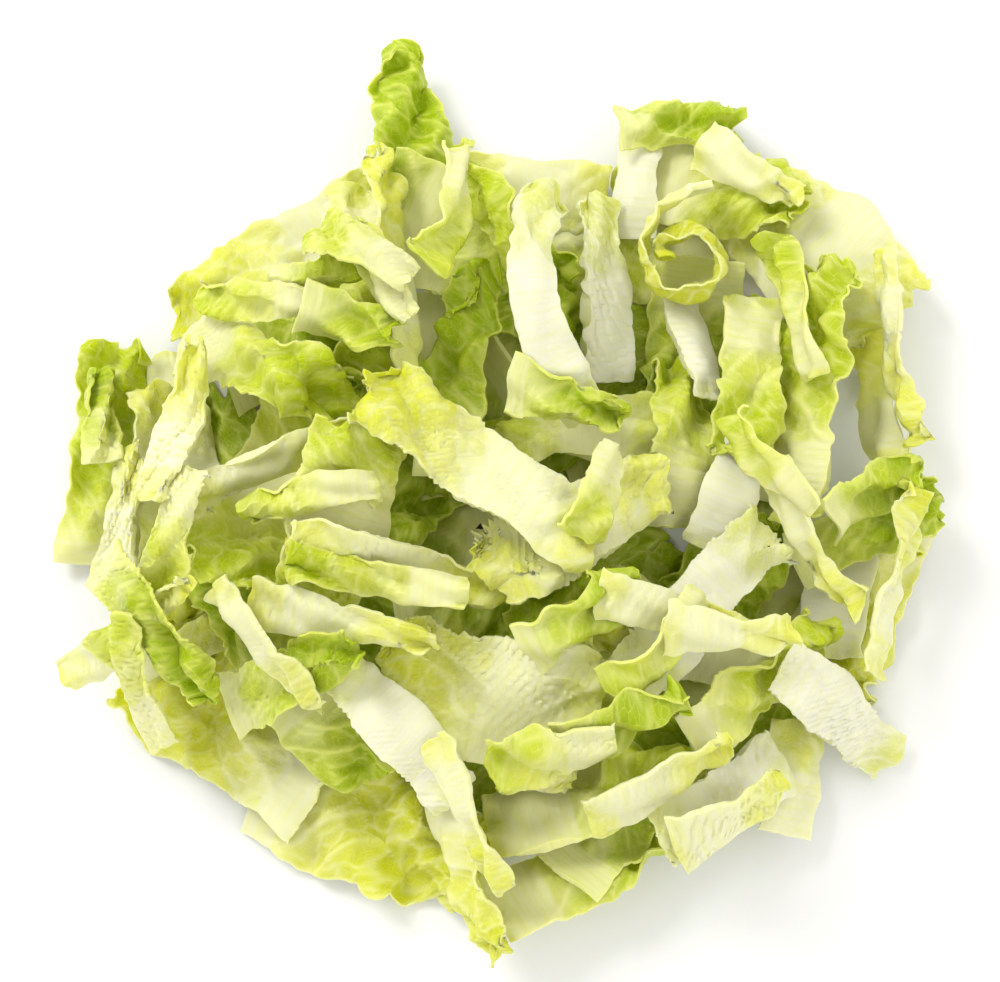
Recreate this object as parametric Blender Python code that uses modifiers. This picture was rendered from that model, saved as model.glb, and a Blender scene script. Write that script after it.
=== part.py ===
"""A heap of shredded napa cabbage: strips cut across the leaves and laid loosely one on another.

Each strip is one knife cut through one leaf. Its long sides are the two cuts, its thick white middle
is the leaf's rib, and it thins through the pale blade to the leaf's waved green margin.
"""

import math
import random
from dataclasses import dataclass

import bmesh
import bpy
import numpy as np
from mathutils import Euler, Matrix, Vector
from mathutils.bvhtree import BVHTree

# Sizes are in millimetres and angles in degrees. MM turns a size into Blender's metres.
MM = 0.001

# The leaf itself
MARGIN_THICKNESS = 0.8  # the blade at the leaf's natural edge
BLADE_THICKNESS = 1.4  # the blade where it leaves the rib
BLADE_THINNING = 16.0  # how far from the rib the blade has mostly thinned
RIPPLE_LENGTH = 24.0  # from crest to crest along a waved margin
FOLD_WIDTH = 0.16  # how much of the half length a soft fold takes up
CORNER_ROUND = 3.0  # how far a margin's corners draw back

# How finely a strip is modelled
CELL_LONG = 5.2
CELL_ACROSS = 4.2
STATIONS = 24  # steps along the centreline from the middle to each end

# How the strips lie
GAP = 0.45  # air kept between two strips
MAP_REACH = 130.0  # the height map covers this far each way from the middle
MAP_CELL = 1.0
DRAPE_BLUR = 8.0  # a soft strip follows bumps under it that are wider than this
TIP_STEPS = (5.0, 2.5, 1.2)  # how far a strip is tipped at a time while it finds its rest
SLIDE_STEPS = (2.0, 1.0, 0.5)
MOST_TIP = 14.0
MOST_SLIDE = 4.0
SPREAD = 0.94  # how far apart the strips' places are drawn, 1 being as they are listed
SOFTENING = (1.0, 0.85, 0.7, 0.55, 0.4, 0.25, 0.1)  # shares of its crumpling tried until a strip is clear of itself
SEED = 11

# Each kind of strip: its colour, and how far its margin ripples
KINDS = {
    "outer_leaf": ((0.42, 0.56, 0.05), 2.6),
    "inner_leaf": ((0.62, 0.72, 0.16), 2.2),
    "heart_leaf": ((0.80, 0.83, 0.40), 1.8),
    "white_rib": ((0.86, 0.87, 0.74), 0.7),
}


@dataclass
class Strip:
    """One cut strip. Its length runs from the near end, u = -1, to the far end, u = 1."""

    kind: str
    x: float  # where its middle lies
    y: float
    heading: float  # which way its far end points
    length: float
    width: float
    rib: tuple = (0.0, 2.0, 2.2)  # where along it, how wide each way, and how thick
    bend: float = 0.0  # an arch, or a cup where it is negative
    spiral: float = 0.0  # how much faster it bends at its far end than in its middle
    curl: tuple = (0.0, 0.0)  # more bend, close to the near and the far end
    fold: tuple = (0.0, 0.0)  # where along it a fold lies, and how far it turns
    sweep: float = 0.0  # a curve within the leaf's own plane
    twist: float = 0.0
    roll: float = 0.0  # 90 stands it on its cut side
    pitch: float = 0.0
    camber: float = 1.0
    pleat: float = 0.0  # the depth of a valley pressed along its middle, or a crest where negative
    ripple: float = 1.0  # times its kind's ripple
    drape: float = 0.8  # how far it follows what lies under it
    flat: bool = False  # pressed flat on the table
    cell: float = CELL_LONG


# The strips in the order in which they fall, the undermost first. Positions are seen from above, with
# the near side of the heap towards -Y.
STRIPS = [
    # Broad pieces pressed flat on the table
    Strip("outer_leaf", 0, -6, 0, 76, 32, (0.1, 6, 2.6), flat=True),
    Strip("outer_leaf", 0, 37, 3, 78, 29, (-0.2, 5, 2.4), flat=True),
    Strip("outer_leaf", 0, -50, -3, 78, 26, (0.2, 5, 2.4), flat=True),
    Strip("outer_leaf", 61, -12, 88, 56, 24, (0.0, 5, 2.4), flat=True),
    Strip("outer_leaf", -63, -2, 96, 60, 25, (-0.1, 5, 2.4), flat=True),
    # The rim, where strips lie half on the table
    Strip("heart_leaf", -46, 58, 34, 60, 26, (0.3, 4, 2.4), bend=30, ripple=1.5),
    Strip("heart_leaf", -25, -72, -22, 54, 27, (-0.9, 2, 1.8), bend=15, ripple=2.0),
    Strip("heart_leaf", -58, -50, -34, 50, 27, (0.8, 2, 1.8), bend=-14, ripple=2.2),
    Strip("inner_leaf", -84, 13, 86, 50, 17, (-1, 2, 1.6), roll=25, ripple=2.2, bend=20),
    Strip("heart_leaf", -74, -4, 99, 54, 19, (0.2, 3, 2.4), roll=40, ripple=1.7, pleat=2),
    Strip("heart_leaf", -67, -27, 30, 36, 8, (-1, 2, 1.8), roll=30, ripple=0.7, bend=20),
    Strip("inner_leaf", 31, -76, 27, 64, 17, (-0.8, 3, 2.2), roll=-30, ripple=1.8),
    Strip("heart_leaf", 63, -62, 80, 24, 13, (-0.6, 6, 3.0), ripple=0.9),
    Strip("heart_leaf", 87, -22, 70, 46, 17, (0.9, 3, 2.2), bend=24, ripple=1.3),
    Strip("heart_leaf", 90, 22, -84, 66, 11, (0.1, 3, 2.2), roll=66, sweep=22, ripple=1.5),
    Strip("heart_leaf", 75, 61, -44, 46, 27, (0.1, 6, 2.8), bend=44, ripple=1.7),
    Strip("inner_leaf", 52, 72, -16, 44, 19, (-0.5, 3, 2.0), bend=28, roll=-10, ripple=1.5),
    Strip("heart_leaf", 4, 76, -8, 48, 16, (0.3, 5, 2.8), roll=28, bend=20, ripple=1.4),
    Strip("white_rib", 37, 76, 86, 24, 9, (-0.2, 9, 3.4), roll=10),
    Strip("outer_leaf", 43, 87, 6, 28, 12, (-1, 1, 1.6), bend=-40, ripple=1.4, roll=20),
    Strip("outer_leaf", -18, 84, 97, 54, 15, (-0.9, 2, 1.8), twist=60, pitch=6, ripple=1.7),
    # The shaded middle layer
    Strip("outer_leaf", -2, 58, -28, 50, 24, (-0.4, 3, 2.2), roll=30, bend=40, ripple=1.6),
    Strip("outer_leaf", -6, 14, 42, 54, 23, (0.9, 2, 1.8), bend=-90, roll=-14, ripple=1.6),
    Strip("outer_leaf", 49, -20, 62, 50, 24, (-0.9, 2, 1.8), bend=-80, ripple=1.4),
    Strip("outer_leaf", 50, 38, 82, 44, 19, (0.8, 2, 1.8), bend=-70, roll=16, ripple=1.5),
    Strip("outer_leaf", 33, -62, 55, 44, 21, (-0.9, 2, 1.8), bend=-60, roll=-18, ripple=1.4),
    Strip("outer_leaf", -46, -39, -54, 62, 20, (0.2, 3, 2.2), bend=70, roll=24, ripple=1.6),
    Strip("outer_leaf", -40, 38, 16, 50, 16, (-0.7, 3, 2.2), fold=(0.2, 100), roll=-28, ripple=1.6),
    Strip("inner_leaf", -46, -2, 72, 58, 28, (0.1, 2, 2.2), bend=-85, roll=14, ripple=1.2),
    Strip("inner_leaf", 26, -44, 48, 46, 19, (0.7, 3, 2.4), fold=(-0.2, 80), ripple=1.5),
    Strip("inner_leaf", 12, 14, 6, 52, 16, (0.4, 4, 2.6), bend=36, roll=-34, ripple=1.6),
    Strip("white_rib", 75, -21, 84, 34, 14, (0.0, 10, 3.8), bend=14),
    Strip("outer_leaf", 82, -7, 24, 38, 13, (-1, 1, 1.6), curl=(30, 60), ripple=1.5),
    Strip("inner_leaf", 71, 24, 80, 60, 15, (-0.6, 4, 2.6), roll=-34, bend=30, pleat=-1.5),
    # The upper strips
    Strip("inner_leaf", -28, 46, 94, 48, 14, (0.5, 3, 2.4), bend=44, roll=16, ripple=1.8),
    Strip("inner_leaf", -50, 26, -24, 50, 14, (-0.8, 3, 2.2), fold=(0.3, 70), ripple=1.9),
    Strip("outer_leaf", -12, 30, 80, 48, 15, (-0.9, 2, 1.8), ripple=1.9, bend=34, roll=-34),
    Strip("inner_leaf", 1, 50, -66, 52, 15, (0.6, 3, 2.4), roll=60, sweep=-30, ripple=1.6),
    Strip("heart_leaf", -18, 50, 99, 62, 14, (-0.1, 5, 2.6), roll=74, sweep=-8, twist=-16),
    Strip("heart_leaf", -50, 5, 20, 52, 10, (-0.2, 5, 2.6), roll=60, bend=-60, ripple=1.3),
    Strip("inner_leaf", -37, -8, 74, 46, 18, (0.1, 2, 2.2), bend=36, roll=12, pleat=1.5),
    Strip("outer_leaf", 14, -37, 62, 54, 14, (-1, 2, 1.8), bend=60, curl=(60, 110), ripple=1.5),
    Strip("heart_leaf", 39, -34, -10, 54, 14, (0.3, 5, 3.0), bend=-40, roll=28, ripple=1.5),
    Strip("inner_leaf", 19, -66, 20, 44, 16, (-0.5, 5, 2.8), roll=-38, ripple=1.9),
    Strip("heart_leaf", -6, -74, -72, 52, 14, (-0.3, 4, 2.6), roll=62, ripple=1.4, bend=20),
    Strip("white_rib", 46, -63, 30, 34, 13, (0.1, 8, 3.6), bend=20, ripple=2.0),
    Strip("inner_leaf", 56, -47, 40, 44, 12, (-0.9, 2, 1.8), ripple=1.9, roll=40, bend=20),
    Strip("white_rib", 73, -45, -34, 40, 12, (-0.2, 12, 4.2), bend=14, ripple=2.0, roll=12),
    Strip("inner_leaf", 40, 17, 86, 42, 14, (-0.7, 3, 2.4), bend=56, ripple=1.3),
    Strip("white_rib", 45, 33, 95, 28, 8, (0.1, 9, 3.4), bend=16, roll=14),
    Strip("white_rib", 55, 4, 70, 34, 11, (0.0, 10, 4.0), bend=18, roll=14, ripple=1.6),
    Strip("white_rib", 22, 46, 96, 42, 11, (-0.4, 9, 3.8), bend=34, roll=-14, ripple=2.4),
    Strip("white_rib", 6, 36, 98, 52, 10, (-0.2, 10, 3.8), bend=26, sweep=-66, roll=14, ripple=2.2),
    Strip("heart_leaf", -19, -16, -8, 50, 11, (-0.2, 4, 2.4), roll=50, ripple=1.7),
    Strip("heart_leaf", 23, -12, 30, 46, 17, (0.0, 6, 3.0), bend=54, ripple=1.6),
    Strip("white_rib", 41, -21, 46, 46, 14, (0.0, 8, 4.0), bend=36, roll=-14, ripple=2.2),
    Strip("heart_leaf", -1, -45, -14, 46, 27, (0.3, 5, 2.8), bend=44, camber=2.2, ripple=1.5),
    Strip("white_rib", -23, -50, -46, 44, 12, (0.2, 9, 3.4), bend=30, roll=-24, ripple=2.2),
    Strip("heart_leaf", -6, -2, -34, 60, 17, (0.3, 7, 3.0), bend=50, ripple=1.8),
    Strip("heart_leaf", 38, 44, -20, 68, 10, (-1, 3, 2.0), roll=88, bend=440, spiral=0.62, ripple=0.5),
]


def centreline(strip):
    """Points on the strip's middle line, and the directions along, across and up there, from end to end."""
    turn = [math.radians(a) for a in (strip.heading, -strip.pitch, strip.roll)]
    start = Matrix.Rotation(turn[0], 3, "Z") @ Matrix.Rotation(turn[1], 3, "Y")
    start = start @ Matrix.Rotation(turn[2], 3, "X")
    near, far = (half_centreline(strip, start, side) for side in (-1, 1))
    points = [point for point, _ in reversed(near[1:])] + [point for point, _ in far]
    frames = [frame for _, frame in reversed(near[1:])] + [frame for _, frame in far]
    return np.array(points), np.array(frames)


def bend_rate(strip, u):
    """How fast the strip bends at u, in degrees for each unit of u: its arch, its curled ends and its fold."""
    at, angle = strip.fold
    fold = math.exp(-(((u - at) / FOLD_WIDTH) ** 2)) / (FOLD_WIDTH * math.sqrt(math.pi))
    arch = strip.bend / 2 * (1 + strip.spiral * u)
    return arch + 3 * strip.curl[u > 0] * u * u + angle * fold


def half_centreline(strip, frame, side):
    """Steps from the middle of the strip to one of its ends."""
    point = Vector((0, 0, 0))
    found = [(point.copy(), [list(row) for row in frame])]
    step = side / STATIONS
    for k in range(STATIONS):
        u = side * (k + 0.5) / STATIONS
        turn = Vector((strip.twist / 2, bend_rate(strip, u), strip.sweep / 2))
        angle = math.radians(turn.length) * step
        frame = frame @ Matrix.Rotation(angle, 3, turn) if turn.length else frame
        point = point + frame.col[0] * (strip.length / 2) * step
        found.append((point.copy(), [list(row) for row in frame]))
    return found


def margin_share(strip, u):
    """0 over the rib, rising to 1 at whichever end is the leaf's natural margin."""
    away = np.abs(u - strip.rib[0]) * strip.length / 2 - strip.rib[1]
    return np.clip(away / 28.0, 0, 1) ** 1.2


def thickness_at(strip, u):
    """The strip's thickness along it: the rib, the blade beside it, and the thin margin."""
    _, half_width, rib_thickness = strip.rib
    away = np.abs(u - strip.rib[0]) * strip.length / 2
    blade = MARGIN_THICKNESS + (BLADE_THICKNESS - MARGIN_THICKNESS) * np.exp(
        -np.maximum(away - half_width, 0) / BLADE_THINNING
    )
    rib = np.clip(1 - (away / (half_width + 3.0)) ** 2, 0, 1)
    return blade + (rib_thickness - BLADE_THICKNESS) * rib


def surface_points(strip, u, v, draw, crumpling):
    """The middle surface of the strip, in millimetres, about the strip's own middle."""
    points, frames = centreline(strip)
    stations = np.linspace(-1, 1, len(points))
    point = np.stack([np.interp(u, stations, points[:, k]) for k in range(3)], 1)
    along, across, up = (
        np.stack([np.interp(u, stations, frames[:, k, column]) for k in range(3)], 1)
        for column in range(3)
    )
    phase, second, third = (draw.uniform(0, 2 * math.pi) for _ in range(3))
    margin = margin_share(strip, u)
    wander = 1 + 0.10 * np.sin(3.1 * u + phase) + 0.05 * np.sin(8.3 * u + third)
    half_width = strip.width / 2 * wander * (1 - 0.22 * margin * u * u)
    ripple = KINDS[strip.kind][1] * strip.ripple * crumpling * (0.2 + 0.8 * margin)
    crests = u * strip.length / RIPPLE_LENGTH
    waves = np.sin(math.pi * (1.3 * v + crests) + second)
    waves += 0.5 * np.sin(math.pi * (1.4 * crests - 0.9 * v) + third)
    relief = ripple * waves - strip.camber * (v * v - 0.33) + strip.pleat * (np.abs(v) - 0.5)
    if strip.flat:
        relief = 0 * relief
    inward = -np.sign(u) * CORNER_ROUND * margin * u**8 * v * v
    return (
        point
        + across * (v * half_width)[:, None]
        + up * relief[:, None]
        + along * inward[:, None]
    )


def leaf_material(kind):
    """One plain finish for each kind of strip."""
    found = bpy.data.materials.get(kind)
    if found:
        return found
    material = bpy.data.materials.new(kind)
    material.use_nodes = True
    shader = material.node_tree.nodes["Principled BSDF"]
    shader.inputs["Base Color"].default_value = (*KINDS[kind][0], 1)
    shader.inputs["Roughness"].default_value = 0.45
    return material


def make_strip(strip, name, heap, collection):
    """The strip with as much of its crumpling as it can have without crossing itself."""
    for crumpling in SOFTENING:
        obj = strip_object(strip, name, heap, collection, crumpling)
        bpy.context.view_layer.update()
        if not crosses_itself(obj):
            return obj
        bpy.data.objects.remove(obj)
    raise ValueError(f"{name} crosses itself")


def strip_object(strip, name, heap, collection, crumpling):
    """A grid bent into the strip's middle surface, draped over the heap and thickened on both sides."""
    draw = random.Random(f"{SEED} {name}")
    grid = bmesh.new()
    bmesh.ops.create_grid(
        grid,
        x_segments=max(4, round(strip.length / strip.cell)),
        y_segments=max(2, round(strip.width / CELL_ACROSS)),
        size=1.0,
    )
    uv = np.array([vertex.co[:2] for vertex in grid.verts])
    points = surface_points(strip, uv[:, 0], uv[:, 1], draw, crumpling)
    if not strip.flat:
        x, y = spot(strip, (0, 0, 0, 0))
        points[:, 2] += strip.drape * crumpling * heap.softened(points[:, 0] + x, points[:, 1] + y)
        points[:, 2] -= points[:, 2].mean()
    for vertex, point in zip(grid.verts, points):
        vertex.co = Vector(point) * MM
    bmesh.ops.triangulate(grid, faces=grid.faces[:], quad_method="FIXED")
    mesh = bpy.data.meshes.new(name)
    grid.to_mesh(mesh)
    grid.free()
    mesh.materials.append(leaf_material(strip.kind))
    obj = bpy.data.objects.new(name, mesh)
    collection.objects.link(obj)

    thickness = thickness_at(strip, uv[:, 0])
    group = obj.vertex_groups.new(name="thickness")
    for index, value in enumerate(thickness / thickness.max()):
        group.add([index], float(value), "REPLACE")
    solidify = obj.modifiers.new("thickness", "SOLIDIFY")
    solidify.thickness = thickness.max() * MM
    solidify.offset = 1.0 if strip.flat else 0.0
    solidify.vertex_group = group.name
    solidify.use_rim = True
    return obj


def solid_faces(obj):
    """The corners of the strip's solid, in millimetres, and its triangles."""
    evaluated = obj.evaluated_get(bpy.context.evaluated_depsgraph_get())
    mesh = evaluated.to_mesh()
    mesh.calc_loop_triangles()
    corners = np.array([vertex.co for vertex in mesh.vertices]) / MM
    faces = np.array([triangle.vertices for triangle in mesh.loop_triangles])
    evaluated.to_mesh_clear()
    return corners, faces


def crosses_itself(obj):
    corners, faces = solid_faces(obj)
    tree = BVHTree.FromPolygons([Vector(corner) for corner in corners], faces.tolist())
    return any(not set(faces[a]) & set(faces[b]) for a, b in tree.overlap(tree))


def solid_samples(obj):
    """Points spread over the strip's solid faces, closer together than the height map's cells."""
    corners, faces = solid_faces(obj)
    a, b, c = (corners[faces[:, k]] for k in range(3))
    longest = max(np.linalg.norm(a - b, axis=1).max(), np.linalg.norm(b - c, axis=1).max())
    steps = math.ceil(longest / (0.8 * MAP_CELL))
    weights = [(i / steps, j / steps) for i in range(steps + 1) for j in range(steps + 1 - i)]
    return np.concatenate([a + (b - a) * i + (c - a) * j for i, j in weights])


class Heap:
    """A map of how high the strips already laid reach above each spot of the table."""

    def __init__(self):
        cells = int(2 * MAP_REACH / MAP_CELL)
        self.height = np.full((cells, cells), -GAP)
        self.soft = np.zeros((cells, cells))

    def cell(self, x, y):
        last = len(self.height) - 1
        column = np.clip(((x + MAP_REACH) / MAP_CELL).astype(int), 0, last)
        row = np.clip(((y + MAP_REACH) / MAP_CELL).astype(int), 0, last)
        return row, column

    def softened(self, x, y):
        """The heap's height with its small bumps blurred away."""
        return self.soft[self.cell(x, y)]

    def rest_height(self, points):
        """How far points must be lifted to lie on the heap with a gap of air."""
        return float((self.height[self.cell(points[:, 0], points[:, 1])] - points[:, 2]).max()) + GAP

    def add(self, points):
        """Lays the points on the map, and keeps one cell clear around each."""
        rows, columns = self.cell(points[:, 0], points[:, 1])
        for i in (-1, 0, 1):
            for j in (-1, 0, 1):
                np.maximum.at(self.height, (rows + i, columns + j), points[:, 2])
        reach = int(3 * DRAPE_BLUR / MAP_CELL)
        kernel = np.exp(-0.5 * (np.arange(-reach, reach + 1) * MAP_CELL / DRAPE_BLUR) ** 2)
        kernel /= kernel.sum()
        soft = np.maximum(self.height, 0)
        for axis in (0, 1):
            soft = np.apply_along_axis(np.convolve, axis, soft, kernel, "same")
        self.soft = soft


def tipped(points, tip_x, tip_y):
    turn = Euler((math.radians(tip_x), math.radians(tip_y), 0)).to_matrix()
    return points @ np.array(turn).T


def spot(strip, state):
    """Where over the table the strip lies once it has slid."""
    return strip.x * SPREAD + state[2], strip.y * SPREAD + state[3]


def settle(strip, points, heap):
    """Tips and slides the strip a little either way until its middle lies as low as it can."""
    def height_of(state):
        placed = tipped(points, *state[:2]) + (*spot(strip, state), 0)
        return heap.rest_height(placed)

    best, state = height_of((0, 0, 0, 0)), [0.0, 0.0, 0.0, 0.0]
    limits = (MOST_TIP, MOST_TIP, MOST_SLIDE, MOST_SLIDE)
    for tip, slide in zip(TIP_STEPS, SLIDE_STEPS):
        moved = True
        while moved:
            moved = False
            for which, step in enumerate((tip, tip, slide, slide)):
                for change in (step, -step):
                    trial = list(state)
                    trial[which] += change
                    if abs(trial[which]) > limits[which]:
                        continue
                    height = height_of(trial)
                    if height < best - 1e-3:
                        best, state, moved = height, trial, True
    return state, best


def lay(strip, obj, heap):
    """Rests the strip on what lies there already."""
    points = solid_samples(obj)
    if strip.flat:
        state, height = [0.0, 0.0, 0.0, 0.0], 0.0
    else:
        state, height = settle(strip, points, heap)
    place = (*spot(strip, state), height)
    obj.rotation_euler = (math.radians(state[0]), math.radians(state[1]), 0)
    obj.location = Vector(place) * MM
    heap.add(tipped(points, *state[:2]) + place)


def centre_on_origin(objects):
    """Parents the strips to one empty that puts the origin under the middle of the heap's box."""
    bpy.context.view_layer.update()
    graph = bpy.context.evaluated_depsgraph_get()
    corners = []
    for obj in objects:
        evaluated = obj.evaluated_get(graph)
        mesh = evaluated.to_mesh()
        corners += [evaluated.matrix_world @ vertex.co for vertex in mesh.vertices]
        evaluated.to_mesh_clear()
    low, high = np.min(corners, axis=0), np.max(corners, axis=0)
    middle = bpy.data.objects.new("heap_middle", None)
    objects[0].users_collection[0].objects.link(middle)
    middle.location = (-(low[0] + high[0]) / 2, -(low[1] + high[1]) / 2, -low[2])
    for obj in objects:
        obj.parent = middle


def main():
    for obj in list(bpy.data.objects):
        bpy.data.objects.remove(obj)
    collection = bpy.data.collections.new("shredded_napa_cabbage")
    bpy.context.scene.collection.children.link(collection)
    heap = Heap()
    count = dict.fromkeys(KINDS, 0)
    strips = []
    for strip in STRIPS:
        count[strip.kind] += 1
        name = f"{strip.kind}_{count[strip.kind]:02d}"
        obj = make_strip(strip, name, heap, collection)
        lay(strip, obj, heap)
        strips.append(obj)
    centre_on_origin(strips)


main()
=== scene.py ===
# %% [markdown]
# # A heap of shredded napa cabbage
#
# The photograph looks down on a loose heap of napa cabbage that a knife has cut into strips. The packed
# model holds each strip as a plain solid, and this lesson makes the strips that are seen: thin leaves with
# ribs, veins, blistered blades, waved margins and pale cut edges. Every strip that has a solid lies where
# its solid lies, so the heap that is drawn and the heap in the physics are one heap. Small scraps and shreds
# are added between them.

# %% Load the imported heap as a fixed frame
import math
import random
from dataclasses import dataclass

import bpy
import numpy as np
from mathutils import Euler, Matrix, Vector


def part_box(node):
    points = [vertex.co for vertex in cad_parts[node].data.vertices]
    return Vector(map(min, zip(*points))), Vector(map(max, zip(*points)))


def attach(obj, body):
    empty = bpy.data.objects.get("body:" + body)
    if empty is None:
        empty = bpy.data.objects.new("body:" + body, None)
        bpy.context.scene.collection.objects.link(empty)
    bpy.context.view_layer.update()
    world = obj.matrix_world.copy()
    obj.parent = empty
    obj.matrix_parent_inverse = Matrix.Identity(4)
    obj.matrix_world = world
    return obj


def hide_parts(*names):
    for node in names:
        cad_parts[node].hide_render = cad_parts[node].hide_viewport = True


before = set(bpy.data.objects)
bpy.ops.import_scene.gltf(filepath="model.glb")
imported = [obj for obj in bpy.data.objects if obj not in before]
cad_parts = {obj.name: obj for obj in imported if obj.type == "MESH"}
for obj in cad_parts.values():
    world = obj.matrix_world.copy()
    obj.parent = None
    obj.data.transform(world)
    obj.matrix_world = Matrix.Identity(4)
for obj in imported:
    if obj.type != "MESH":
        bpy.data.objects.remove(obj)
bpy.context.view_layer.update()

# %% [markdown]
# ## How a strip is written down
#
# A napa cabbage is cut across its long leaves. So a strip's length runs across the leaf: the thick white
# rib crosses it somewhere, the blade runs out from the rib on both sides, and an end that reaches the
# leaf's margin is thin, green and waved. One line of a table is enough to say that for each strip. Modelling
# sixty strips by hand would be slow, and one strip copied sixty times would show. A table and one formula
# give sixty different strips that all follow the same leaf.

# %% One strip of the table
# Sizes are in millimetres and angles in degrees, and MM turns a size into Blender's metres.
MM = 0.001


@dataclass
class Strip:
    """One cut strip. Its length runs from the near end, u = -1, to the far end, u = 1."""

    kind: str
    x: float  # where its middle was dropped on the heap
    y: float
    heading: float
    length: float
    width: float
    rib: tuple = (0.0, 2.0, 2.2)  # where along it, how wide each way, and how thick
    bend: float = 0.0  # how far it arches from end to end
    spiral: float = 0.0  # how much more it arches towards its far end
    curl: tuple = (0.0, 0.0)  # the extra bend of the near and the far end
    fold: tuple = (0.0, 0.0)  # where it is folded, and how far
    sweep: float = 0.0  # how far it turns sideways
    twist: float = 0.0
    roll: float = 0.0  # how far it lies on edge
    pitch: float = 0.0
    camber: float = 1.0  # how much its middle stands above its cut edges
    pleat: float = 0.0  # a crease along its middle
    ripple: float = 1.0
    drape: float = 0.8  # how closely it follows what lies under it
    flat: bool = False
    taper: float = 0.0  # how much narrower the far end is than the middle
    rest: tuple = ()  # its softening, how far it tipped, and the place where it came to rest


# %% [markdown]
# ## The table of strips
#
# The first five are broad pieces pressed flat on the table. Then come the rim, the shaded pieces in the
# middle, and the strips on top, in the order in which they fell. The last numbers of each line are where
# the strip came to rest on those before it.

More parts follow.
